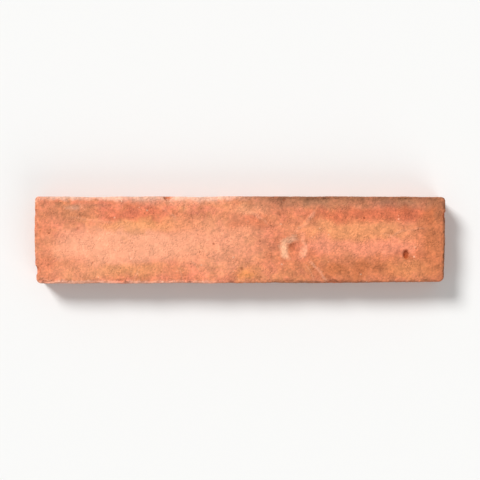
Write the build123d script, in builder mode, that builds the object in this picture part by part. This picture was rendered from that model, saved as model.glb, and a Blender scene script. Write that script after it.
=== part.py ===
from build123d import *
import os
from math import asin, degrees

# A hand-moulded clay brick slip: the face of a solid brick, sawn off as a thin tile.
# It lies on its sawn back with the moulded face up. X runs along the course, Y up the course
# and Z out of the wall. The origin is at the middle of the sawn back. Millimetres.

# Size of the thin brick format
slip_length = 240.0  # along the upper arris
slip_height = 51.0  # halfway along
slip_thickness = 20.0  # from the sawn back to the crown of the face

# How the moulded outline departs from a true rectangle
left_end_lean = 1.0  # the left end's lower corner stands in by this much
right_end_lean = 0.9  # and so does the right end's
lower_side_taper = 0.6  # the slip is this much less high at the right end than at the left
side_swell = 0.35  # each long side bulges by this much halfway along
end_swell = 0.25  # and each end by this much

# The gently domed face: how far it falls from its middle to its edges
crown_along = 0.6
crown_across = 0.7

# Rounded corners, seen from the front
upper_left_radius = 2.2
upper_right_radius = 2.0
lower_right_radius = 3.2
lower_left_radius = 2.6

# Arrises: rounded round the moulded face, barely broken round the sawn back
face_arris_radius = 1.2
sawn_arris_chamfer = 0.4

# A deep narrow pit near the right end, taller than it is wide
pit_width = 2.6
pit_tall = 5.0
pit_depth = 2.2  # below the crown of the face
pit_from_right_end = 23.4
pit_below_middle = 8.3

# A shallow shell-shaped scar where a piece of grit burst out of the face
scar_width = 9.0
scar_depth = 0.8  # below the crown of the face
scar_right_of_middle = 27.5
scar_below_middle = 4.6

# Chips out of the face's arris: how long each is and how far it bites in
end_chip_long = 5.0
end_chip_bite = 1.7
end_chip_above_lower_side = 7.4
upper_chip_long = 4.0
upper_chip_bite = 1.1
upper_chip_left_of_middle = 42.0
lower_chip_long = 9.0
lower_chip_bite = 0.9
lower_chip_right_of_middle = 56.0

# What the cutting shapes stand clear of the slip, so that they cut right through
cut_margin = 5.0


def fall_radius(half_span, fall):
    """Radius of the arc that falls by this much at each end of its span."""
    return (half_span**2 + fall**2) / (2 * fall)


half_length = slip_length / 2
half_height = slip_height / 2
corner_line = half_height - side_swell

# Corners of the outline
upper_left = (-half_length, corner_line)
upper_right = (half_length, corner_line)
lower_right = (half_length - right_end_lean, -corner_line + lower_side_taper / 2)
lower_left = (-half_length + left_end_lean, -corner_line - lower_side_taper / 2)
corner_radii = {
    upper_left: upper_left_radius,
    upper_right: upper_right_radius,
    lower_right: lower_right_radius,
    lower_left: lower_left_radius,
}


def swelled(start, end, swell):
    """Arc from one corner to the next, clockwise round the slip, that bulges outwards."""
    along = Vector(*end) - Vector(*start)
    outwards = Vector(-along.Y, along.X).normalized()
    middle = (Vector(*start) + Vector(*end)) / 2
    return ThreePointArc(start, middle + outwards * swell, end)


# The domed envelope: an arc across the course, turned about a far axis below the slip
along_radius = fall_radius(half_length, crown_along)
across_radius = fall_radius(half_height, crown_across)
envelope_half_width = half_height + cut_margin
envelope_half_angle = degrees(asin((half_length + cut_margin) / along_radius))
envelope_edge = slip_thickness - (across_radius - (across_radius**2 - envelope_half_width**2) ** 0.5)
turning_axis = Axis((0, 0, slip_thickness - along_radius), (0, 1, 0))

with BuildPart() as crown:
    with BuildSketch(Plane.YZ):
        with BuildLine():
            ThreePointArc(
                (-envelope_half_width, envelope_edge),
                (0, slip_thickness),
                (envelope_half_width, envelope_edge),
            )
            Polyline(
                (envelope_half_width, envelope_edge),
                (envelope_half_width, -cut_margin),
                (-envelope_half_width, -cut_margin),
                (-envelope_half_width, envelope_edge),
            )
        make_face()
    revolve(axis=turning_axis, revolution_arc=envelope_half_angle)
    mirror(about=Plane.YZ)

# The pit, and the round bites that leave the scar and the chips
pit_middle = (half_length - pit_from_right_end, -pit_below_middle)
scar_radius = fall_radius(scar_width / 2, scar_depth)
end_chip_radius = fall_radius(end_chip_long / 2, end_chip_bite)
upper_chip_radius = fall_radius(upper_chip_long / 2, upper_chip_bite)
lower_chip_radius = fall_radius(lower_chip_long / 2, lower_chip_bite)
chip_height = slip_thickness - crown_across
bites = [
    (
        (scar_right_of_middle, -scar_below_middle, slip_thickness + scar_radius - scar_depth),
        scar_radius,
    ),
    (
        (
            -half_length + left_end_lean - end_chip_radius + end_chip_bite,
            -corner_line + end_chip_above_lower_side,
            chip_height,
        ),
        end_chip_radius,
    ),
    (
        (-upper_chip_left_of_middle, half_height + upper_chip_radius - upper_chip_bite, chip_height),
        upper_chip_radius,
    ),
    (
        (lower_chip_right_of_middle, -half_height - lower_chip_radius + lower_chip_bite, chip_height),
        lower_chip_radius,
    ),
]

with BuildPart() as slip:
    with BuildSketch() as outline:
        with BuildLine():
            swelled(upper_left, upper_right, side_swell)
            swelled(upper_right, lower_right, end_swell)
            swelled(lower_right, lower_left, side_swell)
            swelled(lower_left, upper_left, end_swell)
        make_face()
        for corner, radius in corner_radii.items():
            fillet(outline.vertices().sort_by_distance(corner)[0], radius)
    extrude(amount=slip_thickness + cut_margin)

    add(crown.part, mode=Mode.INTERSECT)
    fillet(slip.faces().sort_by(Axis.Z)[-1].edges(), face_arris_radius)
    chamfer(slip.faces().sort_by(Axis.Z)[0].edges(), sawn_arris_chamfer)

    with BuildSketch(Plane.XY.offset(slip_thickness)):
        with Locations(pit_middle):
            SlotOverall(pit_tall, pit_width, rotation=90)
    extrude(amount=-pit_depth, mode=Mode.SUBTRACT)
    for bite_middle, bite_radius in bites:
        with Locations(bite_middle):
            Sphere(bite_radius, mode=Mode.SUBTRACT)

slip.part.label = "brick_slip"
os.makedirs("parts", exist_ok=True)
export_step(slip.part, "parts/brick_slip.step")
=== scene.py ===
"""A hand-moulded brick slip lying on a pale floor, seen from straight above.

The slip is one piece of fired clay: the face of a moulded brick, sawn off as a thin tile. The piece made
here takes the place of the frame's plain solid. The worn arrises, chips, burst scar, pits, straw marks and
grit of its hand-moulded face are real relief, and so are the saw's marks on its back. Its material has the
mottled colours of the kiln, with painted shade in its hollows, pits, furrows and scar and painted highlights
and shade on its arrises, creases' lips and scar's rims, and has the finest sand as bump.
"""

import logging
import math
import random
from collections.abc import Callable
from dataclasses import dataclass, field
from enum import Enum
from functools import partial

import bmesh
import bpy
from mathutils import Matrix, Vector


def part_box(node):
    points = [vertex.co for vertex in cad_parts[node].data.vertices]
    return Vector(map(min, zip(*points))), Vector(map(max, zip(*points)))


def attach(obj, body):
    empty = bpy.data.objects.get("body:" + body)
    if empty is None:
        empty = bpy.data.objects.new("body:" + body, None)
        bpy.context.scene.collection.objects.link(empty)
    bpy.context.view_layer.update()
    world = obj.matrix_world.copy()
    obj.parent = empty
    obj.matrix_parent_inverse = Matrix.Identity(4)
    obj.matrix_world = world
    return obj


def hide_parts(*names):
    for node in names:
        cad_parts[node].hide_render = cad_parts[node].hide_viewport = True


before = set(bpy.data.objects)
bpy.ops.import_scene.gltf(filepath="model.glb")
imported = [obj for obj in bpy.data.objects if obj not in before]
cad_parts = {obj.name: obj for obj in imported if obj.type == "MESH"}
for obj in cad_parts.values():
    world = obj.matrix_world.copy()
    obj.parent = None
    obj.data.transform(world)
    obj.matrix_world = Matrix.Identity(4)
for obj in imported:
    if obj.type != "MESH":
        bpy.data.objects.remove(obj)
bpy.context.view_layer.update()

NODE = "brick_slip"
MM = 0.001  # a millimetre in metres
NOISE_MIDDLE = 0.5  # what a noise is on average
NOISE_SWING = 0.25  # how far a noise mostly strays from its middle
BYTE = 255  # the most that two hex digits say
SRGB_KNEE = 0.04045  # sRGB rises straight up to here, and along a power curve above it
SRGB_SLOPE = 12.92
SRGB_OFFSET = 0.055
SRGB_POWER = 2.4

log = logging.getLogger("brick_slip")

Source = bpy.types.Node | bpy.types.NodeSocket | float | tuple
Colour = tuple[float, float, float, float]


def linear(hex_colour: str) -> Colour:
    """Turn an sRGB colour into Blender's linear one.

    Args:
        hex_colour: six hex digits after a hash sign.

    Returns:
        Linear red, green and blue, and an alpha of 1.
    """
    shares = [int(hex_colour[start : start + 2], 16) / BYTE for start in (1, 3, 5)]
    red, green, blue = (
        s / SRGB_SLOPE if s <= SRGB_KNEE else ((s + SRGB_OFFSET) / (1 + SRGB_OFFSET)) ** SRGB_POWER
        for s in shares
    )
    return red, green, blue, 1.0


def add_node(
    tree: bpy.types.NodeTree, kind: str, inputs: dict[int | str, Source] | None = None, **settings: object
) -> bpy.types.Node:
    """Add a node with its settings and links.

    Args:
        tree: the node tree that it goes into.
        kind: Blender's name for the kind of node.
        inputs: what each input is given, by its name or its place among those in use.
        **settings: the node's own settings.

    Returns:
        The new node.
    """
    made = tree.nodes.new(kind)
    for name, value in settings.items():
        setattr(made, name, value)
    in_use = [socket for socket in made.inputs if socket.enabled]
    for key, value in (inputs or {}).items():
        socket = in_use[key] if isinstance(key, int) else next(s for s in in_use if s.name == key)
        if isinstance(value, bpy.types.Node):
            value = next(s for s in value.outputs if s.enabled)
        if isinstance(value, bpy.types.NodeSocket):
            tree.links.new(value, socket)
        else:
            socket.default_value = value
    return made


def select_only(piece: bpy.types.Object) -> None:
    """Deselect everything, the frame's nodes too, and make one piece the active one.

    Args:
        piece: the object that the next operator acts on.
    """
    bpy.ops.object.select_all(action="DESELECT")
    piece.select_set(True)
    bpy.context.view_layer.objects.active = piece


def edit_vertices(piece: bpy.types.Object, chosen: Callable[[Vector], bool]) -> None:
    """Enter edit mode with only some vertices selected, and the edges and faces between them.

    Args:
        piece: the mesh to edit.
        chosen: says of a vertex's place, in metres, whether it is selected.
    """
    select_only(piece)
    bpy.ops.object.mode_set(mode="EDIT")
    bpy.ops.mesh.select_mode(type="VERT")
    bpy.ops.mesh.select_all(action="DESELECT")
    mesh = bmesh.from_edit_mesh(piece.data)
    for vertex in mesh.verts:
        vertex.select = chosen(vertex.co)
    mesh.select_flush(True)
    bmesh.update_edit_mesh(piece.data)


def bevel_edges(
    piece: bpy.types.Object, chosen: Callable[[Vector], bool], radius: float, segments: int
) -> None:
    """Bevel the edges between some vertices.

    Args:
        piece: the mesh to bevel.
        chosen: says of a vertex's place, in metres, whether it is one of them.
        radius: how far the bevel reaches, in millimetres.
        segments: how many faces it has across.
    """
    edit_vertices(piece, chosen)
    bpy.ops.mesh.bevel(offset=radius * MM, segments=segments, affect="EDGES")
    bpy.ops.object.mode_set(mode="OBJECT")


def apply_modifier(piece: bpy.types.Object, kind: str, **settings: object) -> None:
    """Add a modifier, set it and apply it.

    Args:
        piece: the mesh that it shapes.
        kind: Blender's name for the kind of modifier.
        **settings: the modifier's own settings.
    """
    select_only(piece)
    modifier = piece.modifiers.new(kind.lower(), kind)
    for name, value in settings.items():
        setattr(modifier, name, value)
    bpy.ops.object.modifier_apply(modifier=modifier.name)


class Side(Enum):
    """One side of the slip as it lies, face up, by the way that it faces."""

    LEFT_END = (-1, 0)
    RIGHT_END = (1, 0)
    UPPER_SIDE = (0, 1)
    LOWER_SIDE = (0, -1)

    @property
    def outwards(self) -> Vector:
        """The way that this side faces."""
        return Vector((*self.value, 0))

    @property
    def along(self) -> Vector:
        """The way that this side runs, to the right or up the course."""
        return Vector((abs(self.value[1]), abs(self.value[0]), 0))


@dataclass(frozen=True)
class Oval:
    """An oval place on the face, in millimetres from the face's middle."""

    x: float
    y: float
    half_width: float
    half_height: float
    softness: float = 0.6  # the share of its size over which its edge fades


@dataclass(frozen=True)
class Tint:
    """A colour that is laid over the clay's own, and the share of it that shows."""

    colour: str
    strength: float


@dataclass(frozen=True)
class Stain:
    """A place where the clay took another colour in the kiln; two, round the scar and the pit, are painted
    light and painted shade instead.
    """

    where: Oval
    tint: Tint


@dataclass(frozen=True)
class ArrisWearAndPaintedLight:
    """A stretch of the face's arris that is paler or darker than the rest, in millimetres: partly wear, and
    partly a painted highlight where it is paler and painted shade where it is darker.
    """

    side: Side
    place: float  # along that side, from its middle
    half_length: float
    reach: float  # how far it reaches in over the face
    tint: Tint


@dataclass(frozen=True)
class Tear:
    """How ragged an edge is, in millimetres."""

    wobble: float  # the size of its teeth
    reach: float  # how far it strays


@dataclass(frozen=True)
class Undulation:
    """Hollows and rises all over the clay, darker and paler with their height, in millimetres: painted shade
    in the hollows, and worn clay on the rises.
    """

    size: float
    height: float
    shade: float  # how much paler the highest place is, and darker the lowest, as a share: painted shade in the hollows and paler worn rises
    detail: float


@dataclass(frozen=True)
class Cloud:
    """A soft irregular change of colour all over the clay, in millimetres."""

    size: float
    stretch: float  # how many times longer it is along the slip than across it
    tint: Tint
    seed: float
    edge: float = 0.4  # the noise's value where it starts
    core: float = 0.68  # and where it is whole


@dataclass(frozen=True)
class Ring:
    """What one oval leaves of another: a crescent or a ring."""

    outer: Oval
    inner: Oval


@dataclass(frozen=True)
class Crease:
    """A fold where one roll of clay lapped over the next in the mould, in millimetres."""

    start: tuple[float, float]
    end: tuple[float, float]
    bow: float  # how far its middle stands off the straight line
    width: float
    height: float  # how high its lip stands
    strength: float  # how pale its lip is painted, as a painted highlight, and how dark its furrow, as painted shade
    gap: float = 5.0  # the size of the places where it is nearly gone
    least: float = 0.15  # the share of it that is left there
    furrow_gap: float = 0.9  # how far beside the lip its furrow runs, in widths

    @property
    def aside(self) -> float:
        """How far beside the lip its furrow runs."""
        return self.furrow_gap * self.width


@dataclass(frozen=True)
class Specks:
    """Round specks scattered through the clay, in millimetres."""

    spacing: float
    radius: float
    share: float  # how many of the places hold a speck
    depth: float = 0.0  # how far they go in, or stand out where this is less than nothing
    smallest: float = 0.45  # the radius of the smallest, as a share of the largest one's
    core: float = 0.35  # the share of its radius within which a speck is whole


@dataclass(frozen=True)
class Strands:
    """Fine curved marks that chopped straw leaves in wet clay, in millimetres."""

    spacing: float
    width: float
    length: float
    share: float  # how many of the places hold a mark
    bow: float  # how far the middle of a mark stands off the line between its ends, at most
    depth: float
    shortest: float = 0.6  # the length of the shortest, as a share of the longest one's


@dataclass(frozen=True)
class Chip:
    """A piece broken out of the face's arris, in millimetres."""

    side: Side
    place: float  # along that side, from its middle
    length: float
    bite: float
    drop: float  # how far down the side it reaches


@dataclass(frozen=True)
class SlipSize:
    """Half the slip's length and height, and its thickness, in millimetres, read from the frame."""

    half_length: float
    half_height: float
    thickness: float

    @classmethod
    def from_frame(cls) -> "SlipSize":
        """Read the size of the frame's node."""
        low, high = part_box(NODE)
        return cls((high.x - low.x) / 2 / MM, (high.y - low.y) / 2 / MM, high.z / MM)


class ClayPatterns:
    """Patterns of fired clay, drawn with nodes. All sizes and places are in millimetres.

    The same patterns shape the relief, in a modifier, and colour it, in a material.
    """

    line_core = 0.2  # the share of a line's width within which it is whole
    arris_core = 0.3  # the share of a band along the arris within which it is whole
    stone_edge = (1.16, 1.02)  # where a stone's colour ends and where it is whole, in its own radii
    face_fade = (9.0, 3.0)  # how far down the sides the face's marks end, and where they start to fade
    torn_detail = 4.0  # how fine a noise with torn edges is
    soft_detail = 2.0  # and a soft one
    billow_roughness = 0.6  # how strong the finer parts of a cloudy noise are
    # The noise's values where a patchy thing is nearly gone, and where it is whole
    patchy_ends = (NOISE_MIDDLE - NOISE_SWING / 2, NOISE_MIDDLE + NOISE_SWING / 3)

    def __init__(self, tree: bpy.types.NodeTree, metres: bpy.types.Node, output: str, size: SlipSize) -> None:
        """Start from a node that gives places on the slip.

        Args:
            tree: the node tree that is drawn in.
            metres: the node that gives each place, in metres.
            output: the name of its output.
            size: the slip's size.
        """
        self.node = partial(add_node, tree)
        self.size = size
        self.place = self.node(
            "ShaderNodeVectorMath", {0: metres.outputs[output], "Scale": 1 / MM}, operation="SCALE"
        )
        self.axes = self.node("ShaderNodeSeparateXYZ", {0: self.place})

    def pushes(self, size: float, detail: float) -> bpy.types.Node:
        """Draw pushes that go every way, and nowhere on average.

        Args:
            size: the size of the places that are pushed alike.
            detail: how much each push differs within them.

        Returns:
            The node of the pushes, mostly as long as a noise's swing.
        """
        drawn = {"Vector": self.place, "Scale": 1 / size, "Detail": detail}
        noise = self.node("ShaderNodeTexNoise", drawn)
        swing = {0: noise.outputs["Color"], 1: (NOISE_MIDDLE,) * 3}
        return self.node("ShaderNodeVectorMath", swing, operation="SUBTRACT")

    def ragged(self, tear: Tear) -> bpy.types.Node:
        """Push the places about, so that what is drawn over them has torn edges.

        Args:
            tear: how far, and at what size.

        Returns:
            The node of pushed places.
        """
        pushes = self.pushes(tear.wobble, self.torn_detail)
        reach = {0: pushes, "Scale": tear.reach / NOISE_SWING}
        push = self.node("ShaderNodeVectorMath", reach, operation="SCALE")
        return self.node("ShaderNodeVectorMath", {0: self.place, 1: push}, operation="ADD")

    def undulation(self, wave: Undulation) -> bpy.types.Node:
        """Draw hollows and rises, from 0 to 1 and 0.5 on average."""
        billows = {"Scale": 1 / wave.size, "Detail": wave.detail, "Roughness": self.billow_roughness}
        return self.node("ShaderNodeTexNoise", {"Vector": self.place, **billows})

    def oval(self, where: Oval, place: bpy.types.Node) -> bpy.types.Node:
        """Draw an oval that is 1 within and fades to 0 outside.

        Args:
            where: the oval.
            place: the node of places that it is drawn over.

        Returns:
            The node of the fading oval.
        """
        away = self.node("ShaderNodeVectorMath", {0: place, 1: (where.x, where.y, 0)}, operation="SUBTRACT")
        shrink = (1 / where.half_width, 1 / where.half_height, 0)
        shares = self.node("ShaderNodeVectorMath", {0: away, 1: shrink}, operation="MULTIPLY")
        reach = self.node("ShaderNodeVectorMath", {0: shares}, operation="LENGTH")
        ends = {"From Min": 1 + where.softness, "From Max": 1 - where.softness}
        return self.node("ShaderNodeMapRange", {"Value": reach, **ends}, interpolation_type="SMOOTHSTEP")

    def ring(self, where: Ring, place: bpy.types.Node) -> bpy.types.Node:
        """Draw a crescent or a ring.

        Args:
            where: its two ovals.
            place: the node of places that it is drawn over.

        Returns:
            The node of the ring, 1 between the two ovals.
        """
        left = self.node("ShaderNodeMath", {0: 1.0, 1: self.oval(where.inner, place)}, operation="SUBTRACT")
        return self.node("ShaderNodeMath", {0: self.oval(where.outer, place), 1: left}, operation="MULTIPLY")

    def specks(self, specks: Specks, place: bpy.types.Node) -> bpy.types.Node:
        """Scatter round specks: 1 at a speck's middle and 0 between the specks.

        Args:
            specks: how large and how far apart they are.
            place: the node of places that they are drawn over.

        Returns:
            The node of the specks.
        """
        cells = self.node("ShaderNodeTexVoronoi", {"Vector": place, "Scale": 1 / specks.spacing})
        chance = self.node("ShaderNodeSeparateXYZ", {0: cells.outputs["Color"]})
        kept = self.node("ShaderNodeMath", {0: chance.outputs[0], 1: specks.share}, operation="LESS_THAN")
        widest = specks.radius / specks.spacing
        radii = {"Value": chance.outputs[1], "To Min": specks.smallest * widest, "To Max": widest}
        edge = self.node("ShaderNodeMapRange", radii)
        core = self.node("ShaderNodeMath", {0: edge, 1: specks.core}, operation="MULTIPLY")
        round_specks = self.node(
            "ShaderNodeMapRange",
            {"Value": cells.outputs["Distance"], "From Min": edge, "From Max": core},
            interpolation_type="SMOOTHSTEP",
        )
        return self.node("ShaderNodeMath", {0: round_specks, 1: kept}, operation="MULTIPLY")

    def strands(self, strands: Strands, place: bpy.types.Node) -> bpy.types.Node:
        """Strew fine curved marks over the face, each turned and bent its own way.

        Args:
            strands: how wide, how long and how far apart they are.
            place: the node of places that they are drawn over.

        Returns:
            The node of the marks, 1 along their middles.
        """
        cells = self.node(
            "ShaderNodeTexVoronoi", {"Vector": place, "Scale": 1 / strands.spacing}, voronoi_dimensions="2D"
        )
        chance = self.node("ShaderNodeSeparateXYZ", {0: cells.outputs["Color"]})
        ends = {0: place, 1: cells.outputs["Position"]}
        away = self.node("ShaderNodeVectorMath", ends, operation="SUBTRACT")
        turn = self.node("ShaderNodeMath", {0: chance.outputs[0], 1: math.tau}, operation="MULTIPLY")
        bows = {"To Min": -strands.bow, "To Max": strands.bow}
        bow = self.node("ShaderNodeMapRange", {"Value": chance.outputs[1], **bows})
        longest = strands.length / 2
        lengths = {"To Min": strands.shortest * longest, "To Max": longest}
        half_length = self.node("ShaderNodeMapRange", {"Value": chance.outputs[1], **lengths})
        line = self.curved_line(away, turn, half_length, bow, strands.width)
        kept = self.node("ShaderNodeMath", {0: chance.outputs[2], 1: strands.share}, operation="LESS_THAN")
        shown = self.node("ShaderNodeMath", {0: kept, 1: self.on_face()}, operation="MULTIPLY")
        return self.node("ShaderNodeMath", {0: line, 1: shown}, operation="MULTIPLY")

    def crease(self, crease: Crease, place: bpy.types.Node, aside: float = 0.0) -> bpy.types.Node:
        """Draw one crease's lip, or the furrow beside it.

        Args:
            crease: the crease.
            place: the node of places that it is drawn over.
            aside: how far beside the crease the line runs.

        Returns:
            The node of the line, 1 along its middle.
        """
        start, end = Vector(crease.start), Vector(crease.end)
        along = end - start
        beside = aside * along.orthogonal().normalized()
        middle = (*((start + end) / 2 + beside), 0)
        away = self.node("ShaderNodeVectorMath", {0: place, 1: middle}, operation="SUBTRACT")
        line = self.curved_line(
            away, -math.atan2(along.y, along.x), along.length / 2, crease.bow, crease.width
        )
        patchy = self.patchy(crease.gap, crease.least)
        shown = self.node("ShaderNodeMath", {0: patchy, 1: self.on_face()}, operation="MULTIPLY")
        return self.node("ShaderNodeMath", {0: line, 1: shown}, operation="MULTIPLY")

    def patchy(
        self, size: float, least: float = 0.0, ends: tuple[float, float] = patchy_ends
    ) -> bpy.types.Node:
        """Draw places where something is there between others where it is nearly gone.

        Args:
            size: how large the places are.
            least: the share of it that is left where it is nearly gone.
            ends: the noise's values there, and where all of it is there.

        Returns:
            The node of the share that is there.
        """
        places = {"Vector": self.place, "Scale": 1 / size, "Detail": self.torn_detail}
        noise = self.node("ShaderNodeTexNoise", places)
        levels = {"From Min": ends[0], "From Max": ends[1], "To Min": least}
        return self.node("ShaderNodeMapRange", {"Value": noise, **levels})

    def curved_line(
        self, away: bpy.types.Node, turn: Source, half_length: Source, bow: Source, width: float
    ) -> bpy.types.Node:
        """Draw a curved line that thins out to its ends.

        Args:
            away: the node of places, from the line's middle.
            turn: the angle that turns the line to lie along X.
            half_length: half of its length.
            bow: how far its middle stands off the line between its ends.
            width: its width at its middle.

        Returns:
            The node of the line, 1 along its middle.
        """
        turned = self.node("ShaderNodeVectorRotate", {"Vector": away, "Angle": turn}, rotation_type="Z_AXIS")
        own = self.node("ShaderNodeSeparateXYZ", {0: turned})
        shares = self.node("ShaderNodeMath", {0: own.outputs[0], 1: half_length}, operation="DIVIDE")
        squares = self.node("ShaderNodeMath", {0: shares, 1: shares}, operation="MULTIPLY")
        curve = self.node("ShaderNodeMath", {0: squares, 1: bow, 2: own.outputs[1]}, operation="MULTIPLY_ADD")
        distance = self.node("ShaderNodeMath", {0: curve}, operation="ABSOLUTE")
        across = {"Value": distance, "From Min": width / 2, "From Max": self.line_core * width / 2}
        line = self.node("ShaderNodeMapRange", across, interpolation_type="SMOOTHSTEP")
        thinning = {"Value": squares, "From Min": 1.0, "From Max": self.line_core}
        ends = self.node("ShaderNodeMapRange", thinning, interpolation_type="SMOOTHSTEP")
        return self.node("ShaderNodeMath", {0: line, 1: ends}, operation="MULTIPLY")

    def on_face(self, fade: tuple[float, float] = face_fade) -> bpy.types.Node:
        """Tell the face from the sides.

        Args:
            fade: how far down the sides the pattern ends, and where it starts to fade.

        Returns:
            The node that is 1 on the face and fades to 0 down the sides.
        """
        lowest, highest = (self.size.thickness - down for down in fade)
        heights = {"Value": self.axes.outputs[2], "From Min": lowest, "From Max": highest}
        return self.node("ShaderNodeMapRange", heights, interpolation_type="SMOOTHSTEP")

    def arris(self, reach: float, place: bpy.types.Node, down: tuple[float, float]) -> bpy.types.Node:
        """Draw a band along the face's arris.

        Args:
            reach: how far in over the face the band fades out.
            place: the node of places that it is drawn over.
            down: how far down the sides it ends, and where it starts to fade.

        Returns:
            The node of the band, 1 at the arris.
        """
        size = (self.size.half_length, self.size.half_height, 0)
        unsigned = self.node("ShaderNodeVectorMath", {0: place}, operation="ABSOLUTE")
        inside = self.node("ShaderNodeVectorMath", {0: size, 1: unsigned}, operation="SUBTRACT")
        gaps = self.node("ShaderNodeSeparateXYZ", {0: inside})
        nearest = self.node("ShaderNodeMath", {0: gaps.outputs[0], 1: gaps.outputs[1]}, operation="MINIMUM")
        ends = {"Value": nearest, "From Min": reach, "From Max": self.arris_core * reach}
        band = self.node("ShaderNodeMapRange", ends, interpolation_type="SMOOTHSTEP")
        return self.node("ShaderNodeMath", {0: band, 1: self.on_face(down)}, operation="MULTIPLY")

    def stone(self, centre: Vector, spread: Vector, place: bpy.types.Node) -> bpy.types.Node:
        """Draw the rounded stone that broke a chip out: 1 within it, and 0 just outside it.

        Args:
            centre: its middle.
            spread: half of its size along each axis.
            place: the node of places that it is drawn over.

        Returns:
            The node of the stone.
        """
        away = self.node("ShaderNodeVectorMath", {0: place, 1: centre}, operation="SUBTRACT")
        shares = self.node("ShaderNodeVectorMath", {0: away, 1: spread}, operation="DIVIDE")
        reach = self.node("ShaderNodeVectorMath", {0: shares}, operation="LENGTH")
        outside, inside = self.stone_edge
        ends = {"Value": reach, "From Min": outside, "From Max": inside}
        return self.node("ShaderNodeMapRange", ends, interpolation_type="SMOOTHSTEP")

    def cloud(self, cloud: Cloud) -> bpy.types.Node:
        """Draw soft irregular patches.

        Args:
            cloud: how large they are, and how much of the clay they take up.

        Returns:
            The node of the patches, from 0 to 1.
        """
        squeeze = (1 / cloud.stretch, 1, 1)
        drawn = self.node("ShaderNodeVectorMath", {0: self.place, 1: squeeze}, operation="MULTIPLY")
        billows = {"Detail": self.torn_detail, "Roughness": self.billow_roughness}
        patches = {"Vector": drawn, "W": cloud.seed, "Scale": 1 / cloud.size, **billows}
        noise = self.node("ShaderNodeTexNoise", patches, noise_dimensions="4D")
        ends = {"Value": noise, "From Min": cloud.edge, "From Max": cloud.core}
        return self.node("ShaderNodeMapRange", ends, interpolation_type="SMOOTHSTEP")

    def tinted(self, paint: Source, where: Source, tint: Tint) -> bpy.types.Node:
        """Lay a tint over a colour where a pattern is.

        Args:
            paint: the colour so far.
            where: the node of the pattern, from 0 to 1.
            tint: what is laid over it.

        Returns:
            The colour with the tint over it.
        """
        share = self.node("ShaderNodeMath", {0: where, 1: tint.strength}, operation="MULTIPLY")
        return self.node(
            "ShaderNodeMix", {"Factor": share, "A": paint, "B": linear(tint.colour)}, data_type="RGBA"
        )

    def saw_marks(self, blade_radius: float, axle_below: float, pitch: float) -> bpy.types.Node:
        """Draw the arcs that a round saw blade leaves as the brick is fed past it.

        Args:
            blade_radius: the blade's radius.
            axle_below: how far below the slip's middle the blade's axle stood.
            pitch: how far apart the arcs are, on average.

        Returns:
            The node of the marks, from 0 to 1.
        """
        up = self.node("ShaderNodeMath", {0: self.axes.outputs[1], 1: axle_below}, operation="ADD")
        squared = self.node("ShaderNodeMath", {0: up, 1: up}, operation="MULTIPLY")
        rest = self.node("ShaderNodeMath", {0: blade_radius**2, 1: squared}, operation="SUBTRACT")
        arc = self.node("ShaderNodeMath", {0: rest}, operation="SQRT")
        along = self.node("ShaderNodeMath", {0: self.axes.outputs[0], 1: arc}, operation="SUBTRACT")
        arcs = {"W": along, "Scale": 1 / pitch, "Detail": self.soft_detail}
        return self.node("ShaderNodeTexNoise", arcs, noise_dimensions="1D")


@dataclass(frozen=True)
class ClaySurface:
    """What both the relief and the colours of the slip follow, in millimetres."""

    pits: Specks = Specks(spacing=8.0, radius=1.2, share=0.35, depth=0.55)
    pinholes: Specks = Specks(spacing=3.6, radius=0.75, share=0.25, depth=0.3)
    grit: Specks = Specks(spacing=4.6, radius=0.9, share=0.3, depth=-0.16)
    undulations: tuple[Undulation, ...] = (
        Undulation(size=15.0, height=0.9, shade=0.12, detail=2.0),
        Undulation(size=4.4, height=0.5, shade=0.48, detail=3.0),
        Undulation(size=1.6, height=0.4, shade=0.36, detail=3.0),
    )
    smooth_patch: Oval = Oval(x=-66.0, y=-2.5, half_width=48.0, half_height=13.0)
    fine_tear: Tear = Tear(wobble=1.6, reach=0.35)
    tear: Tear = Tear(wobble=4.0, reach=1.0)
    straw: Strands = Strands(spacing=19.0, width=1.2, length=15.0, share=0.25, bow=1.6, depth=0.2)
    creases: tuple[Crease, ...] = (
        Crease(start=(40.0, -11.0), end=(52.5, -25.0), bow=1.0, width=2.6, height=0.4, strength=0.5),
        Crease(start=(32.0, 2.0), end=(46.5, 19.5), bow=-2.0, width=3.2, height=0.35, strength=0.35),
        Crease(start=(-46.0, 20.5), end=(-36.0, 11.0), bow=1.2, width=2.6, height=0.3, strength=0.3),
        Crease(start=(-104.0, 12.5), end=(-58.0, 9.5), bow=-1.6, width=2.0, height=0.25, strength=0.2),
        Crease(start=(2.0, 19.0), end=(19.0, 9.0), bow=1.8, width=2.4, height=0.25, strength=0.25),
        Crease(start=(84.0, 3.0), end=(112.0, 8.5), bow=2.0, width=2.0, height=0.25, strength=0.2),
    )
    scar: Oval = Oval(x=28.0, y=-4.5, half_width=4.6, half_height=5.0, softness=0.35)
    scar_core: Oval = Oval(x=30.8, y=-4.0, half_width=1.7, half_height=2.3, softness=0.5)
    scar_rims: tuple[Ring, ...] = (
        Ring(
            outer=Oval(x=27.7, y=-4.6, half_width=4.4, half_height=6.2, softness=0.3),
            inner=Oval(x=31.5, y=-4.4, half_width=4.2, half_height=8.4, softness=0.35),
        ),
        Ring(
            outer=Oval(x=34.6, y=-4.8, half_width=4.4, half_height=5.6, softness=0.3),
            inner=Oval(x=32.2, y=-4.6, half_width=4.6, half_height=8.0, softness=0.3),
        ),
    )
    pit: Oval = Oval(x=96.6, y=-8.3, half_width=1.6, half_height=2.7, softness=0.35)
    sawn_reach: float = 0.3  # the cut clay shows up to this height over the back
    blade_radius: float = 300.0
    axle_below: float = 200.0  # how far below the slip's middle the blade's axle stood
    saw_pitch: float = 2.2  # how far apart the saw's marks are


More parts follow.
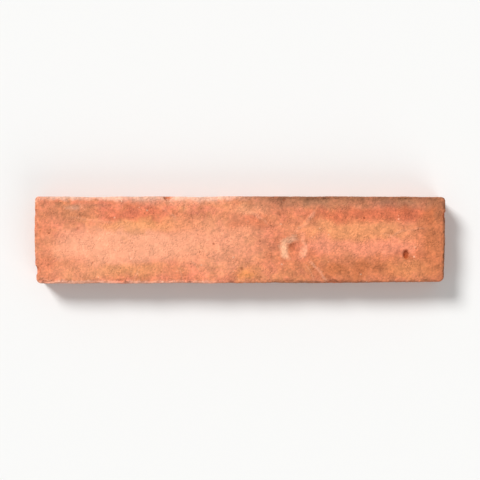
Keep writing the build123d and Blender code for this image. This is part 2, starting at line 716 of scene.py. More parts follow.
@dataclass(frozen=True)
class Relief:
    """The shape of the clay's surface, as a modifier on the plain block. Heights in millimetres."""

    surface: ClaySurface
    crown_along: float = 0.6  # how far the face falls to its ends
    crown_across: float = 0.7  # and to its long sides
    side_swell: float = 0.35
    end_swell: float = 0.25
    waviness: float = 1.6  # how far the sides and the face wander
    wave_length: float = 45.0  # the size of those waves
    smooth_relief: float = 0.4  # how much of the undulations the smooth patch keeps
    arris_wear: float = 2.2  # how deep the arris is worn where it is worn most
    arris_reach: float = 3.4  # and how far in over the face
    arris_drop: tuple[float, float] = (3.4, 1.0)  # how far down the sides it ends, and starts to fade
    wear_size: float = 9.0  # the size of the worn places
    scar_depth: float = 0.8
    core_depth: float = 0.9
    rim_height: float = 0.45
    pit_depth: float = 2.0
    saw_depth: float = 0.07
    back_below: float = 0.11  # what is lower than this is the sawn back
    moulded_from: float = 0.45  # the moulded relief starts at this height over the back
    moulded_above: float = 1.8  # and it is whole from this height
    worn_from: float = 0.45  # the noise's value where the arris starts to be worn
    worn_most: float = 0.8  # and where it is worn most

    def apply(self, piece: bpy.types.Object, size: SlipSize) -> None:
        """Shape a piece by this relief.

        Args:
            piece: the finely divided block.
            size: the slip's size.
        """
        tree = bpy.data.node_groups.new("clay_relief", "GeometryNodeTree")
        tree.interface.new_socket("Geometry", in_out="INPUT", socket_type="NodeSocketGeometry")
        tree.interface.new_socket("Geometry", in_out="OUTPUT", socket_type="NodeSocketGeometry")
        clay = ClayPatterns(tree, tree.nodes.new("GeometryNodeInputPosition"), "Position", size)
        start = clay.node("NodeGroupInput")
        settled = clay.node("GeometryNodeSetPosition", {"Geometry": start, "Offset": self.settling(clay)})
        worn = clay.node("GeometryNodeSetPosition", {"Geometry": settled, "Offset": self.wearing(clay)})
        clay.node("NodeGroupOutput", {"Geometry": worn})
        apply_modifier(piece, "NODES", node_group=tree)

    def settling(self, clay: ClayPatterns) -> bpy.types.Node:
        """Work out how the soft block sagged and swelled, before it was fired.

        Args:
            clay: the patterns to draw with.

        Returns:
            The node of each place's shift, in metres.
        """
        size = clay.size
        whole = (size.half_length, size.half_height, size.thickness)
        shares = clay.node("ShaderNodeVectorMath", {0: clay.place, 1: whole}, operation="DIVIDE")
        squares = clay.node("ShaderNodeVectorMath", {0: shares, 1: shares}, operation="MULTIPLY")
        square = clay.node("ShaderNodeSeparateXYZ", {0: squares})
        ends = clay.node("ShaderNodeMath", {0: square.outputs[1], 1: self.end_swell}, operation="MULTIPLY")
        sides = clay.node("ShaderNodeMath", {0: square.outputs[0], 1: self.side_swell}, operation="MULTIPLY")
        falls = (self.crown_along, self.crown_across, 0)
        crown = clay.node("ShaderNodeVectorMath", {0: squares, 1: falls}, operation="DOT_PRODUCT")
        pull = clay.node("ShaderNodeCombineXYZ", {0: ends, 1: sides, 2: crown})
        pushes = clay.pushes(self.wave_length, clay.soft_detail)
        waves = clay.node("ShaderNodeVectorMath", {0: pushes, "Scale": self.waviness}, operation="SCALE")
        moved = clay.node("ShaderNodeVectorMath", {0: waves, 1: pull}, operation="SUBTRACT")
        shift = clay.node("ShaderNodeVectorMath", {0: moved, 1: shares}, operation="MULTIPLY")
        return clay.node("ShaderNodeVectorMath", {0: shift, "Scale": MM}, operation="SCALE")

    def wearing(self, clay: ClayPatterns) -> bpy.types.Node:
        """Work out the relief along the surface's own normals.

        Args:
            clay: the patterns to draw with.

        Returns:
            The node of each place's shift, in metres.
        """
        surface = self.surface
        ragged = clay.ragged(surface.fine_tear)
        torn = clay.ragged(surface.tear)
        height: Source = 0.0
        for wave in surface.undulations:
            swing = {0: clay.undulation(wave), 1: NOISE_MIDDLE}
            rise = {0: clay.node("ShaderNodeMath", swing, operation="SUBTRACT"), 1: wave.height, 2: height}
            height = clay.node("ShaderNodeMath", rise, operation="MULTIPLY_ADD")
        patch = {"Value": clay.oval(surface.smooth_patch, torn), "To Min": 1.0, "To Max": self.smooth_relief}
        rough = clay.node("ShaderNodeMapRange", patch)
        height = clay.node("ShaderNodeMath", {0: height, 1: rough}, operation="MULTIPLY")
        scattered = (surface.pits, surface.pinholes, surface.grit)
        hollows = [(clay.specks(specks, ragged), specks.depth) for specks in scattered]
        hollows.append((clay.strands(surface.straw, ragged), surface.straw.depth))
        for crease in surface.creases:
            hollows.append((clay.crease(crease, torn), -crease.height))
            hollows.append((clay.crease(crease, torn, crease.aside), crease.height))
        hollows.append((clay.oval(surface.scar, ragged), self.scar_depth))
        hollows.append((clay.oval(surface.scar_core, ragged), self.core_depth))
        hollows.append((clay.oval(surface.pit, ragged), self.pit_depth))
        hollows.extend((clay.ring(rim, torn), -self.rim_height) for rim in surface.scar_rims)
        hollows.append((self.crumbling(clay), self.arris_wear))
        for hollow, depth in hollows:
            height = clay.node("ShaderNodeMath", {0: hollow, 1: -depth, 2: height}, operation="MULTIPLY_ADD")
        up = clay.axes.outputs[2]
        ends = {"Value": up, "From Min": self.moulded_from, "From Max": self.moulded_above}
        moulded = clay.node("ShaderNodeMapRange", ends, interpolation_type="SMOOTHSTEP")
        height = clay.node("ShaderNodeMath", {0: height, 1: moulded}, operation="MULTIPLY")
        marks = clay.saw_marks(surface.blade_radius, surface.axle_below, surface.saw_pitch)
        back = clay.node("ShaderNodeMath", {0: up, 1: self.back_below}, operation="LESS_THAN")
        cut = clay.node("ShaderNodeMath", {0: marks, 1: back}, operation="MULTIPLY")
        cuts = {0: cut, 1: -self.saw_depth, 2: height}
        height = clay.node("ShaderNodeMath", cuts, operation="MULTIPLY_ADD")
        metres = clay.node("ShaderNodeMath", {0: height, 1: MM}, operation="MULTIPLY")
        normal = clay.node("GeometryNodeInputNormal")
        return clay.node("ShaderNodeVectorMath", {0: normal, "Scale": metres}, operation="SCALE")

    def crumbling(self, clay: ClayPatterns) -> bpy.types.Node:
        """Wear the face's arris away here and there.

        Args:
            clay: the patterns to draw with.

        Returns:
            The node of the wear, from 0 to 1.
        """
        lost = clay.patchy(self.wear_size, ends=(self.worn_from, self.worn_most))
        band = clay.arris(self.arris_reach, clay.place, self.arris_drop)
        return clay.node("ShaderNodeMath", {0: lost, 1: band}, operation="MULTIPLY")


@dataclass(frozen=True)
class FiredClay:
    """Terracotta, moulded by hand in sand, fired orange and left bare.

    To the eye it is quite matt. The sand leaves it gritty, the kiln mottles it from pale orange through pink
    to brown, and the saw bares a plainer, redder clay with pale and dark grit in it. Painted shade darkens
    its hollows, pits, furrows and the scar's core, and painted highlights and shade lie along its arrises,
    creases' lips and the scar's rims.
    """

    surface: ClaySurface
    body_colour: str = "#ee976f"  # the clay's own, under what the kiln gave it
    roughness: float = 0.9
    chalkiness: float = 0.5  # how evenly it throws light back, as rough clay does
    specular_level: float = 0.3
    clouds: tuple[Cloud, ...] = (
        Cloud(size=48.0, stretch=1.2, tint=Tint("#f8a882", 0.8), seed=1.0),
        Cloud(size=22.0, stretch=2.0, tint=Tint("#de9462", 0.7), seed=4.0),
        Cloud(size=16.0, stretch=2.2, tint=Tint("#ea8261", 0.6), seed=7.0),
        Cloud(size=9.0, stretch=1.6, tint=Tint("#cc774f", 0.5), seed=9.0),
        Cloud(size=12.0, stretch=1.6, tint=Tint("#e7a36b", 0.45), seed=12.0),
        Cloud(size=6.0, stretch=1.3, tint=Tint("#f7927a", 0.45), seed=15.0),
    )
    stains: tuple[Stain, ...] = (
        # The darker right half, and the pale fields in the middle and at the left
        Stain(Oval(x=80.0, y=0.0, half_width=75.0, half_height=45.0, softness=0.7), Tint("#db845c", 0.45)),
        Stain(Oval(x=-16.0, y=-2.4, half_width=26.0, half_height=13.0, softness=0.7), Tint("#fab08a", 0.65)),
        Stain(Oval(x=-69.0, y=-3.4, half_width=41.0, half_height=11.0, softness=0.45), Tint("#ffb690", 0.92)),
        # Yellow streaks above and below the pale field, and along the right half
        Stain(Oval(x=-58.0, y=9.0, half_width=22.0, half_height=3.5), Tint("#f5ac70", 0.6)),
        Stain(Oval(x=-66.0, y=-17.5, half_width=24.0, half_height=3.5), Tint("#eda46e", 0.55)),
        Stain(Oval(x=-96.0, y=-18.5, half_width=20.0, half_height=5.0), Tint("#f5ad80", 0.45)),
        Stain(Oval(x=68.0, y=5.6, half_width=32.0, half_height=6.0), Tint("#eea26e", 0.8)),
        # Pink clay between the scar and the pit
        Stain(Oval(x=75.0, y=-4.0, half_width=28.0, half_height=4.0), Tint("#fba280", 0.6)),
        Stain(Oval(x=47.5, y=-2.5, half_width=6.5, half_height=5.0), Tint("#fca482", 0.55)),
        # Red strips below the upper arris
        Stain(Oval(x=82.0, y=15.0, half_width=42.0, half_height=4.5, softness=0.5), Tint("#d76e49", 0.6)),
        Stain(Oval(x=97.5, y=18.0, half_width=2.4, half_height=5.0), Tint("#b05a3a", 0.5)),
        Stain(Oval(x=-60.0, y=15.0, half_width=24.0, half_height=4.0), Tint("#e87f5c", 0.55)),
        # A smudge in the upper left corner, with a pale spot on it
        Stain(Oval(x=-101.0, y=15.5, half_width=16.0, half_height=4.5), Tint("#d58a62", 0.7)),
        Stain(Oval(x=-97.0, y=18.0, half_width=3.0, half_height=2.0), Tint("#ecb79c", 0.5)),
        # Brown blotches along the lower arris, and yellower clay right of them
        Stain(Oval(x=70.0, y=-18.0, half_width=28.0, half_height=6.5), Tint("#cd7a4a", 0.6)),
        Stain(Oval(x=54.5, y=-16.5, half_width=6.5, half_height=4.5), Tint("#c06c3e", 0.45)),
        Stain(Oval(x=70.0, y=-16.5, half_width=4.5, half_height=4.5), Tint("#c06c3e", 0.45)),
        Stain(Oval(x=80.0, y=-16.0, half_width=3.0, half_height=3.0), Tint("#c06c3e", 0.3)),
        Stain(Oval(x=100.0, y=-16.0, half_width=14.0, half_height=5.0), Tint("#dc925c", 0.5)),
        # The two ends
        Stain(Oval(x=-114.0, y=0.0, half_width=5.0, half_height=18.0), Tint("#da865e", 0.5)),
        Stain(Oval(x=113.0, y=2.0, half_width=9.0, half_height=24.0), Tint("#c97647", 0.7)),
        # Small spots
        Stain(Oval(x=3.0, y=-20.0, half_width=7.0, half_height=4.0, softness=0.7), Tint("#e3964f", 0.6)),
        Stain(Oval(x=5.0, y=18.0, half_width=9.0, half_height=3.0, softness=0.7), Tint("#f1b386", 0.45)),
        Stain(Oval(x=8.0, y=10.5, half_width=11.0, half_height=3.5, softness=0.7), Tint("#df8258", 0.5)),
        Stain(Oval(x=-29.0, y=8.0, half_width=13.0, half_height=3.5), Tint("#ffac7e", 0.5)),
        Stain(Oval(x=-59.5, y=4.8, half_width=4.5, half_height=2.2, softness=0.7), Tint("#d9976a", 0.5)),
        Stain(Oval(x=-66.5, y=0.2, half_width=3.0, half_height=1.8, softness=0.7), Tint("#dd9b70", 0.45)),
        Stain(Oval(x=-94.0, y=19.6, half_width=18.0, half_height=1.4), Tint("#c88a66", 0.35)),
        # Round the scar and the pit
        # Painted light: a pale spot on the scar's upper slope, which the lamps leave in shade
        Stain(Oval(x=29.6, y=0.2, half_width=3.2, half_height=2.2), Tint("#ffc8a4", 0.6)),
        # Painted shade: a dark spot at the pit's lower right
        Stain(Oval(x=98.0, y=-11.0, half_width=2.4, half_height=2.0), Tint("#b4602f", 0.5)),
        Stain(Oval(x=102.0, y=-7.6, half_width=3.6, half_height=3.2), Tint("#d67a50", 0.5)),
        Stain(Oval(x=36.6, y=-8.6, half_width=2.4, half_height=2.8, softness=0.5), Tint("#ffb08a", 0.6)),
        Stain(Oval(x=36.8, y=1.0, half_width=1.8, half_height=2.4, softness=0.5), Tint("#ffaa84", 0.5)),
    )
    stain_tear: Tear = Tear(wobble=9.0, reach=2.6)
    # Pale and dark stretches of the arrises: partly wear, partly a painted highlight on the pale ones and
    # painted shade on the dark ones
    arris_wear_and_painted_light: tuple[ArrisWearAndPaintedLight, ...] = (
        ArrisWearAndPaintedLight(Side.UPPER_SIDE, -60.0, half_length=60.0, reach=3.6, tint=Tint("#fbceb6", 0.85)),
        ArrisWearAndPaintedLight(Side.UPPER_SIDE, -42.0, half_length=32.0, reach=6.2, tint=Tint("#eeba9e", 0.5)),
        ArrisWearAndPaintedLight(Side.UPPER_SIDE, 68.0, half_length=62.0, reach=9.4, tint=Tint("#886c54", 0.56)),
        ArrisWearAndPaintedLight(Side.UPPER_SIDE, 68.0, half_length=60.0, reach=3.8, tint=Tint("#7c4c2e", 0.55)),
        ArrisWearAndPaintedLight(Side.LOWER_SIDE, -68.0, half_length=54.0, reach=2.8, tint=Tint("#ffc6ac", 0.7)),
        ArrisWearAndPaintedLight(Side.LOWER_SIDE, 68.0, half_length=50.0, reach=2.8, tint=Tint("#a0684f", 0.7)),
        ArrisWearAndPaintedLight(Side.RIGHT_END, 0.0, half_length=24.0, reach=2.8, tint=Tint("#7a4e36", 0.8)),
        ArrisWearAndPaintedLight(Side.LEFT_END, 2.0, half_length=20.0, reach=3.2, tint=Tint("#d68c6c", 0.4)),
    )
    arris_band_patch: float = 8.0  # the size of the patches along the arrises where the pale and dark bands show
    least_arris_band: float = 0.62  # how strong the bands are between them, as a share
    arris_band_overlap: float = 2.0  # how far over the face a band may show, in reaches
    arris_band_fade: float = 0.3  # the share of a band over which its ends fade
    worn_down: tuple[float, float] = (4.6, 2.4)  # how far down the sides it ends, and starts to fade
    dark_specks: Specks = Specks(spacing=5.2, radius=0.8, share=0.35)
    inclusions: Specks = Specks(spacing=3.4, radius=1.1, share=0.6)
    dark_speck: Tint = Tint("#a4552f", 0.5)
    grit: Tint = Tint("#ffd6b6", 0.5)
    straw: Tint = Tint("#ffc4a0", 0.2)
    # Painted shade, darkening the pits and the pinholes
    pit: Tint = Tint("#8f4526", 0.5)
    pinhole: Tint = Tint("#8f4526", 0.4)
    # A crease's lip is painted pale, as a painted highlight, and its furrow dark, as painted shade
    lip: str = "#fcba98"
    furrow: str = "#b96a48"
    # The scar's rims are painted pale as a painted highlight on their lit sides, and its core dark as painted
    # shade
    left_rim: Tint = Tint("#ffc29a", 1.0)
    right_rim: Tint = Tint("#ffceaa", 0.3)
    scar_core: Tint = Tint("#9c5026", 0.38)
    # Painted shade in the deep pit
    deep_pit_shade: Tint = Tint("#b04a10", 0.68)
    broken: Tint = Tint("#d67c56", 0.8)  # inside the chips, where there is no sand
    sawn: str = "#d67c56"
    sawn_streaks: Tint = Tint("#9c4f31", 0.25)
    sawn_pale: Tint = Tint("#eba57e", 0.8)
    sawn_dark: Tint = Tint("#9c4f31", 0.8)
    # Moulding sand is 0.2 to 0.6 mm across: it is drawn coarser, so that it shows
    grain_size: float = 1.0
    dust_size: float = 0.5
    grain_height: float = 0.5
    sand_patch: float = 5.0  # the size of the places where sand clings to the clay
    least_sand: float = 0.2  # the share of its height that is left between them
    grain_swing: float = 0.08  # how much paler or darker a grain is than the next, as a share
    smooth_swing: float = 0.5  # how much of the mottling the smooth patch keeps

    def material(self, size: SlipSize, stones: list[tuple[Vector, Vector]]) -> bpy.types.Material:
        """Make the material.

        Args:
            size: the slip's size.
            stones: the middle and the half sizes of each stone that broke a large chip out.

        Returns:
            The material, with its colour and fine grain from its nodes.
        """
        made = bpy.data.materials.new("hand_moulded_terracotta")
        made.use_nodes = True
        made.node_tree.nodes.clear()
        places = made.node_tree.nodes.new("ShaderNodeTexCoord")
        clay = ClayPatterns(made.node_tree, places, "Object", size)
        small = clay.ragged(self.surface.fine_tear)
        torn = clay.ragged(self.surface.tear)
        # The arrises get wear, painted highlights and painted shade
        paint = self.worn(clay, torn, self.fired(clay))
        paint = self.marked(clay, small, torn, paint)
        for centre, spread in stones:
            paint = clay.tinted(paint, clay.stone(centre, spread, small), self.broken)
        paint = self.sawn_off(clay, small, self.shaded(clay, torn, paint))
        shader = clay.node(
            "ShaderNodeBsdfPrincipled",
            {
                "Base Color": paint,
                "Roughness": self.roughness,
                "Diffuse Roughness": self.chalkiness,
                "Specular IOR Level": self.specular_level,
                "Normal": self.grain(clay),
            },
        )
        clay.node("ShaderNodeOutputMaterial", {"Surface": shader})
        return made

    def fired(self, clay: ClayPatterns) -> Source:
        """Lay down the clay's own colour and the clouds and stains of the kiln.

        Args:
            clay: the patterns to draw with.

        Returns:
            The colour so far.
        """
        paint: Source = linear(self.body_colour)
        for cloud in self.clouds:
            paint = clay.tinted(paint, clay.cloud(cloud), cloud.tint)
        ragged = clay.ragged(self.stain_tear)
        face = clay.on_face()
        for stain in self.stains:
            spot = clay.oval(stain.where, ragged)
            where = clay.node("ShaderNodeMath", {0: spot, 1: face}, operation="MULTIPLY")
            paint = clay.tinted(paint, where, stain.tint)
        return paint

    def worn(self, clay: ClayPatterns, torn: bpy.types.Node, paint: Source) -> Source:
        """Paint the arrises pale in some places and dark in others: partly wear, and partly painted highlight
        and painted shade.

        Args:
            clay: the patterns to draw with.
            torn: the node of places, pushed about.
            paint: the colour so far.

        Returns:
            The colour with the pale and dark arrises.
        """
        patchy = clay.patchy(self.arris_band_patch, self.least_arris_band)
        for stretch in self.arris_wear_and_painted_light:
            out, along = stretch.side.outwards, stretch.side.along
            half = clay.size.half_length if stretch.side.value[0] else clay.size.half_height
            middle = half * out + stretch.place * along
            inwards = self.arris_band_overlap * stretch.reach * Vector(abs(share) for share in out)
            reach = stretch.half_length * along + inwards
            where = Oval(middle.x, middle.y, reach.x, reach.y, self.arris_band_fade)
            band = clay.arris(stretch.reach, torn, self.worn_down)
            share = clay.node("ShaderNodeMath", {0: clay.oval(where, torn), 1: band}, operation="MULTIPLY")
            share = clay.node("ShaderNodeMath", {0: share, 1: patchy}, operation="MULTIPLY")
            paint = clay.tinted(paint, share, stretch.tint)
        return paint

    def marked(
        self, clay: ClayPatterns, small: bpy.types.Node, torn: bpy.types.Node, paint: Source
    ) -> Source:
        """Add specks, straw marks, creases, the scar and the pits, with painted highlights on the lips and
        rims and painted shade in the furrows, pits and the scar's core.

        Args:
            clay: the patterns to draw with.
            small: the node of places, pushed about a little.
            torn: the node of places, pushed about more.
            paint: the colour so far.

        Returns:
            The colour with all of these.
        """
        surface = self.surface
        left_rim, right_rim = surface.scar_rims
        layers = [
            (clay.specks(self.dark_specks, small), self.dark_speck),
            (clay.specks(surface.grit, small), self.grit),
            (clay.strands(surface.straw, small), self.straw),
        ]
        # Each crease's pale lip is a painted highlight, and its dark furrow painted shade
        for crease in surface.creases:
            layers.append((clay.crease(crease, torn), Tint(self.lip, crease.strength)))
            layers.append((clay.crease(crease, torn, crease.aside), Tint(self.furrow, crease.strength)))
        layers += [
            # The pits, the pinholes and the deep pit are darkened with painted shade
            (clay.specks(surface.pits, small), self.pit),
            (clay.specks(surface.pinholes, small), self.pinhole),
            # The scar's rims get a painted highlight, and its core painted shade
            (clay.ring(left_rim, torn), self.left_rim),
            (clay.ring(right_rim, torn), self.right_rim),
            (clay.oval(surface.scar_core, small), self.scar_core),
            (clay.oval(surface.pit, small), self.deep_pit_shade),
        ]
        for where, tint in layers:
            paint = clay.tinted(paint, where, tint)
        return paint

    def shaded(self, clay: ClayPatterns, torn: bpy.types.Node, paint: Source) -> Source:
        """Make each rise paler, as worn clay, and each hollow darker, as painted shade, and each grain of
        sand a little unlike the next.

        Args:
            clay: the patterns to draw with.
            torn: the node of places, pushed about.
            paint: the colour so far.

        Returns:
            The mottled colour.
        """
        # The undulations darken the hollows as painted shade and make the worn rises paler
        shades = [(clay.undulation(wave).outputs["Fac"], wave.shade) for wave in self.surface.undulations]
        chance = clay.node("ShaderNodeSeparateXYZ", {0: self.grains(clay).outputs["Color"]})
        shades.append((chance.outputs[0], self.grain_swing))
        patch = clay.oval(self.surface.smooth_patch, torn)
        ends = {"To Min": 1.0, "To Max": self.smooth_swing}
        rough = clay.node("ShaderNodeMapRange", {"Value": patch, **ends})
        for pattern, swing in shades:
            ends = {"To Min": 1 - swing, "To Max": 1 + swing}
            shade = clay.node("ShaderNodeMapRange", {"Value": pattern, **ends})
            colours = {"Factor": rough, "A": paint, "B": shade}
            paint = clay.node("ShaderNodeMix", colours, data_type="RGBA", blend_type="MULTIPLY")
        return paint

    def sawn_off(self, clay: ClayPatterns, small: bpy.types.Node, paint: Source) -> Source:
        """Colour the sawn back: bare cut clay with pale and dark grit in it, streaked by the blade.

        Args:
            clay: the patterns to draw with.
            small: the node of places, pushed about a little.
            paint: the colour of the rest.

        Returns:
            The finished colour.
        """
        surface = self.surface
        marks = clay.saw_marks(surface.blade_radius, surface.axle_below, surface.saw_pitch)
        cut = clay.tinted(linear(self.sawn), marks, self.sawn_streaks)
        cut = clay.tinted(cut, clay.specks(self.inclusions, small), self.sawn_pale)
        cut = clay.tinted(cut, clay.specks(self.dark_specks, small), self.sawn_dark)
        height = {0: clay.axes.outputs[2], 1: surface.sawn_reach}
        back = clay.node("ShaderNodeMath", height, operation="LESS_THAN")
        return clay.node("ShaderNodeMix", {"Factor": back, "A": paint, "B": cut}, data_type="RGBA")

    def grains(self, clay: ClayPatterns) -> bpy.types.Node:
        """Draw the cells of the grains of sand."""
        return clay.node("ShaderNodeTexVoronoi", {"Vector": clay.place, "Scale": 1 / self.grain_size})

    def grain(self, clay: ClayPatterns) -> bpy.types.Node:
        """Roughen the surface with sand too fine for the mesh: rounded grains with dust between them.

        Args:
            clay: the patterns to draw with.

        Returns:
            The node of the roughened normal.
        """
        fine = {"Vector": clay.place, "Scale": 1 / self.dust_size, "Detail": clay.soft_detail}
        dust = clay.node("ShaderNodeTexNoise", fine)
        gaps = self.grains(clay).outputs["Distance"]
        relief = clay.node("ShaderNodeMath", {0: dust, 1: gaps}, operation="SUBTRACT")
        sandy = clay.patchy(self.sand_patch, self.least_sand)
        height = clay.node("ShaderNodeMath", {0: relief, 1: sandy}, operation="MULTIPLY")
        return clay.node("ShaderNodeBump", {"Distance": self.grain_height * MM, "Height": height})


@dataclass
class MouldedSlip:
    """The slip itself: a moulded clay block, sawn thin, in millimetres."""

    size: SlipSize = field(default_factory=SlipSize.from_frame)
    surface: ClaySurface = ClaySurface()
    left_lean: float = 1.0
    right_lean: float = 0.9
    lower_taper: float = 0.6
    corner_radii: dict[tuple[int, int], float] = field(
        default_factory=lambda: {(-1, 1): 2.2, (1, 1): 2.0, (1, -1): 3.2, (-1, -1): 2.6}
    )
    face_arris: float = 1.2
    sawn_arris: float = 0.4
    relief_room: float = 0.1  # how far inside the frame's box the plain block stays
    mesh_size: float = 0.46  # the size of the squares that the relief is given
    rough_mesh_size: float = 0.9  # a coarser size for those squares
    most_triangles: int = 190_000
    chips: tuple[Chip, ...] = (
        Chip(Side.LEFT_END, place=-17.8, length=5.6, bite=2.4, drop=6.0),
        Chip(Side.LEFT_END, place=16.0, length=4.0, bite=1.4, drop=3.0),
        Chip(Side.LEFT_END, place=8.6, length=5.0, bite=1.4, drop=3.0),
        Chip(Side.UPPER_SIDE, place=-42.0, length=5.6, bite=2.0, drop=4.0),
        Chip(Side.LOWER_SIDE, place=54.5, length=7.0, bite=1.8, drop=3.4),
        Chip(Side.RIGHT_END, place=14.5, length=4.4, bite=1.6, drop=4.0),
    )
    crumbs_each: int = 3  # how many smaller pieces came away beside each of these
    crumb_sizes: tuple[float, float] = (0.4, 0.65)  # as shares of the chip's size
    small_chips: int = 34
    small_chip_lengths: tuple[float, float] = (1.6, 4.0)
    small_chip_bites: tuple[float, float] = (0.15, 0.3)  # as shares of their lengths
    small_chip_drop: float = 1.6  # how far down the side one reaches, in bites
    small_chip_spread: float = 0.95  # the share of a side that they are scattered over
    long_side_odds: int = 4  # how many times likelier one is on a long side than on an end
    stone_roundness: float = 1.5  # how much wider a stone is than its bite
    stone_divisions: int = 3  # how often a stone's faces are divided
    lump_size: float = 0.9  # the size and height of the lumps on a stone
    lump_height: float = 0.5
    corner_segments: int = 6
    arris_segments: int = 5
    smooth_angle: float = 50.0  # edges sharper than this stay sharp, in degrees
    seed: int = 11

    def build(self) -> bpy.types.Object:
        """Build the slip's mesh and dress it.

        Returns:
            The finished piece.
        """
        piece = self.block()
        drawn = random.Random(self.seed)
        large = self.large_chips(drawn)
        stones = self.break_chips(piece, large + self.scattered_chips(drawn))[: len(large)]
        mesh_size = self.mesh_size
        apply_modifier(piece, "REMESH", mode="VOXEL", voxel_size=mesh_size * MM)
        Relief(self.surface).apply(piece, self.size)
        self.thin(piece)
        self.press_flat(piece)
        select_only(piece)
        bpy.ops.object.shade_smooth_by_angle(angle=math.radians(self.smooth_angle))
        piece.data.materials.append(FiredClay(self.surface).material(self.size, stones))
        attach(piece, "root")
        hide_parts(NODE)
        return piece

    def block(self) -> bpy.types.Object:
        """Make the plain block: leaning ends, round corners and broken arrises.

        Returns:
            The block, as a piece of its own.
        """
        room = Vector((self.relief_room, self.relief_room, 0)) * MM
        low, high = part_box(NODE)
        low, high = low + room, high - room
        high.z -= self.relief_room * MM
        bpy.ops.object.select_all(action="DESELECT")
        bpy.ops.mesh.primitive_cube_add(size=1, location=(low + high) / 2, scale=high - low)
        piece = bpy.context.object
        piece.name = piece.data.name = "moulded_slip"
        bpy.ops.object.transform_apply(location=True, rotation=True, scale=True)
        shifts = {-1: (self.left_lean, 0.0), 1: (-self.right_lean, self.lower_taper)}
        for end, (inwards, upwards) in shifts.items():
            edit_vertices(piece, lambda place: place.x * end > 0 and place.y < 0)
            bpy.ops.transform.translate(value=(inwards * MM, upwards * MM, 0))
            bpy.ops.object.mode_set(mode="OBJECT")
        for (end, side), radius in self.corner_radii.items():
            bevel_edges(
                piece, lambda place: place.x * end > 0 and place.y * side > 0, radius, self.corner_segments
            )
        middle = self.size.thickness / 2 * MM
        bevel_edges(piece, lambda place: place.z > middle, self.face_arris, self.arris_segments)
        bevel_edges(piece, lambda place: place.z < self.sawn_arris * MM / 2, self.sawn_arris, 1)
        return piece

    def large_chips(self, drawn: random.Random) -> list[Chip]:
        """List the large chips, and the crumbs that make their outlines ragged.

        Args:
            drawn: what the crumbs are drawn from.

        Returns:
            The chips and their crumbs.
        """
        crumbs = []
        for chip in self.chips * self.crumbs_each:
            share = drawn.uniform(*self.crumb_sizes)
            place = chip.place + drawn.uniform(-chip.length, chip.length) / 2
            crumbs.append(Chip(chip.side, place, *(share * s for s in (chip.length, chip.bite, chip.drop))))
        return [*self.chips, *crumbs]

    def scattered_chips(self, drawn: random.Random) -> list[Chip]:
        """Scatter small chips round the arris.

        Args:
            drawn: what they are drawn from.

        Returns:
            The small chips.
        """
        sides = (Side.UPPER_SIDE, Side.LOWER_SIDE) * self.long_side_odds + (Side.LEFT_END, Side.RIGHT_END)
        chips = []
        for _ in range(self.small_chips):
            side = drawn.choice(sides)
            half = self.size.half_length if side.value[1] else self.size.half_height
            place = drawn.uniform(-half, half) * self.small_chip_spread
            length = drawn.uniform(*self.small_chip_lengths)
            bite = length * drawn.uniform(*self.small_chip_bites)
            chips.append(Chip(side, place, length, bite, self.small_chip_drop * bite))
        return chips

    def stone(self, piece: bpy.types.Object, chip: Chip) -> tuple[Vector, Vector]:
        """Work out the rounded stone that breaks a chip out.

        Args:
            piece: the block.
            chip: the chip.

        Returns:
            The stone's middle, and half of its size along each axis, in millimetres.
        """
        along = chip.side.along
        across = self.stone_roundness * chip.bite
        half = self.size.half_length if chip.side.value[0] else self.size.half_height
        corner = half * chip.side.outwards + chip.place * along + Vector((0, 0, self.size.thickness))
        _, arris, _, _ = piece.closest_point_on_mesh(corner * MM)
        centre = arris / MM + (across - chip.bite) * chip.side.outwards
        spread = Vector(chip.length / 2 * a + across * (1 - a) for a in along)
        spread.z = chip.drop
        return centre, spread

    def break_chips(self, piece: bpy.types.Object, chips: list[Chip]) -> list[tuple[Vector, Vector]]:
        """Break chips out of the block with lumpy stones.

        Args:
            piece: the block.
            chips: the chips.

        Returns:
            The middle and the half sizes of each chip's stone.
        """
        shapes = [self.stone(piece, chip) for chip in chips]
        stones = []
        for centre, spread in shapes:
            bpy.ops.mesh.primitive_ico_sphere_add(
                subdivisions=self.stone_divisions, radius=1, location=centre * MM
            )
            stone = bpy.context.object
            stone.scale = spread * MM
            bpy.ops.object.transform_apply(location=True, rotation=True, scale=True)
            stones.append(stone)
        bpy.ops.object.select_all(action="DESELECT")
        for stone in stones:
            stone.select_set(True)
        bpy.context.view_layer.objects.active = stones[0]
        bpy.ops.object.join()
        lumps = bpy.data.textures.new("stone_lumps", "CLOUDS")
        lumps.noise_scale = self.lump_size * MM
        swells = {"texture": lumps, "strength": self.lump_height * MM, "texture_coords": "LOCAL"}
        apply_modifier(stones[0], "DISPLACE", **swells)
        apply_modifier(piece, "BOOLEAN", operation="DIFFERENCE", object=stones[0], use_self=True)
        bpy.data.objects.remove(stones[0])
        return shapes

    def thin(self, piece: bpy.types.Object) -> None:
        """Take triangles out where the surface is plain, down to the most that a piece may have.

        Args:
            piece: the finely divided slip.
        """
        apply_modifier(piece, "TRIANGULATE")
        share = self.most_triangles / len(piece.data.polygons)
        if share < 1:
            apply_modifier(piece, "DECIMATE", ratio=share)

    def press_flat(self, piece: bpy.types.Object) -> None:
        """Press flat the few high places that stand out of the frame's box, as the mould's walls do.

        Args:
            piece: the slip.
        """
        low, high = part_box(NODE)
        for vertex in piece.data.vertices:
            vertex.co = Vector(
                min(max(place, least), most) for place, least, most in zip(vertex.co, low, high)
            )


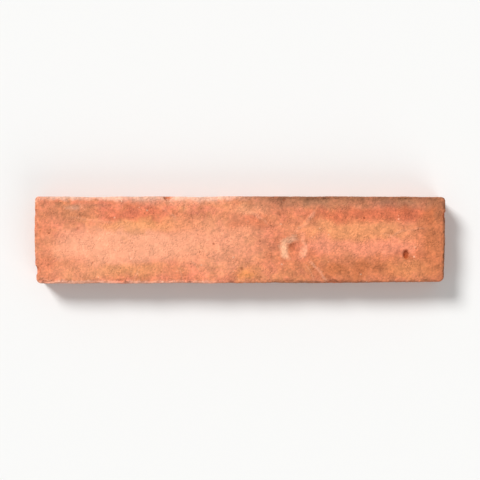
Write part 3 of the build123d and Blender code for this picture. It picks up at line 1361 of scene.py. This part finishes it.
@dataclass(frozen=True)
class FloorPaint:
    """Matt white paint on a studio floor: plain, with the piece's soft shadow on it."""

    seen: str = "#efefee"
    lit: str = "#b4b4b3"
    roughness: float = 0.95
    specular_level: float = 0.1

    def material(self) -> bpy.types.Material:
        """Make the paint, a shade paler to the camera than to the light that it throws back.

        Returns:
            The material.
        """
        made = bpy.data.materials.new("matt_white_floor_paint")
        made.use_nodes = True
        tree = made.node_tree
        tree.nodes.clear()
        rays = add_node(tree, "ShaderNodeLightPath")
        shade = add_node(
            tree,
            "ShaderNodeMix",
            {"Factor": rays.outputs["Is Camera Ray"], "A": linear(self.lit), "B": linear(self.seen)},
            data_type="RGBA",
        )
        paint = add_node(
            tree,
            "ShaderNodeBsdfPrincipled",
            {"Base Color": shade, "Roughness": self.roughness, "Specular IOR Level": self.specular_level},
        )
        add_node(tree, "ShaderNodeOutputMaterial", {"Surface": paint})
        return made


@dataclass(frozen=True)
class Softbox:
    """A large softbox, so far off that it lights the floor as brightly everywhere."""

    name: str
    towards: tuple[float, float, float]  # where it hangs, seen from the slip
    spread: float  # how wide it looks from the slip, in degrees
    strength: float  # in watts for each square metre that faces it

    def build(self) -> bpy.types.Object:
        """Hang the softbox, aimed at the slip.

        Returns:
            The lamp.
        """
        bpy.ops.object.light_add(type="SUN", location=self.towards)
        lamp = bpy.context.object
        lamp.name = self.name
        lamp.data.angle = math.radians(self.spread)
        lamp.data.energy = self.strength
        lamp.rotation_euler = (-Vector(self.towards)).to_track_quat("-Z", "Y").to_euler()
        return lamp


@dataclass
class Studio:
    """The floor, the softboxes and the camera that looks straight down on the slip."""

    floor_width: float = 6.0  # in metres
    lens: float = 100.0  # in millimetres
    slip_share: float = 0.86  # how much of the picture's width the slip takes up
    world_strength: float = 0.42  # how brightly the air lights things, where the camera sees it at 1
    backdrop: str = "#fafaf9"
    softboxes: tuple[Softbox, ...] = (
        Softbox("key_softbox", towards=(-1.9, 2.0, 2.5), spread=20.0, strength=2.8),
        Softbox("fill_softbox", towards=(1.6, -2.4, 1.7), spread=40.0, strength=0.7),
    )

    def build(self, size: SlipSize) -> None:
        """Set up the whole studio.

        Args:
            size: the slip's size.
        """
        self.lay_floor()
        for softbox in self.softboxes:
            softbox.build()
        self.light_world()
        self.aim_camera(size)
        bpy.context.scene.view_settings.view_transform = "Standard"

    def lay_floor(self) -> None:
        """Lay the floor that the slip lies on."""
        bpy.ops.object.select_all(action="DESELECT")
        bpy.ops.mesh.primitive_plane_add(size=self.floor_width)
        floor = bpy.context.object
        floor.name = floor.data.name = "floor"
        floor.data.materials.append(FloorPaint().material())

    def light_world(self) -> None:
        """Light everything a little from all round."""
        world = bpy.data.worlds.new("studio_air")
        world.use_nodes = True
        tree = world.node_tree
        tree.nodes.clear()
        rays = add_node(tree, "ShaderNodeLightPath")
        levels = {"Value": rays.outputs["Is Camera Ray"], "To Min": self.world_strength}
        strength = add_node(tree, "ShaderNodeMapRange", levels)
        air = add_node(tree, "ShaderNodeBackground", {"Color": linear(self.backdrop), "Strength": strength})
        add_node(tree, "ShaderNodeOutputWorld", {"Surface": air})
        bpy.context.scene.world = world

    def aim_camera(self, size: SlipSize) -> None:
        """Hang the camera straight over the slip, up the course to the picture's top.

        Args:
            size: the slip's size.
        """
        bpy.ops.object.camera_add(rotation=(0, 0, 0))
        camera = bpy.context.object
        camera.name = "camera"
        camera.data.lens = self.lens
        picture_width = 2 * size.half_length * MM / self.slip_share
        camera.location.z = size.thickness * MM + picture_width * self.lens / camera.data.sensor_width
        bpy.context.scene.camera = camera


def main() -> None:
    """Build the slip and the studio, and report each."""
    logging.basicConfig(level=logging.INFO, format="%(name)s: %(message)s")
    slip = MouldedSlip()
    piece = slip.build()
    log.info("%s has %d triangles", piece.name, len(piece.data.polygons))
    Studio().build(slip.size)
    log.info("the studio is lit")


if __name__ == "__main__":
    main()
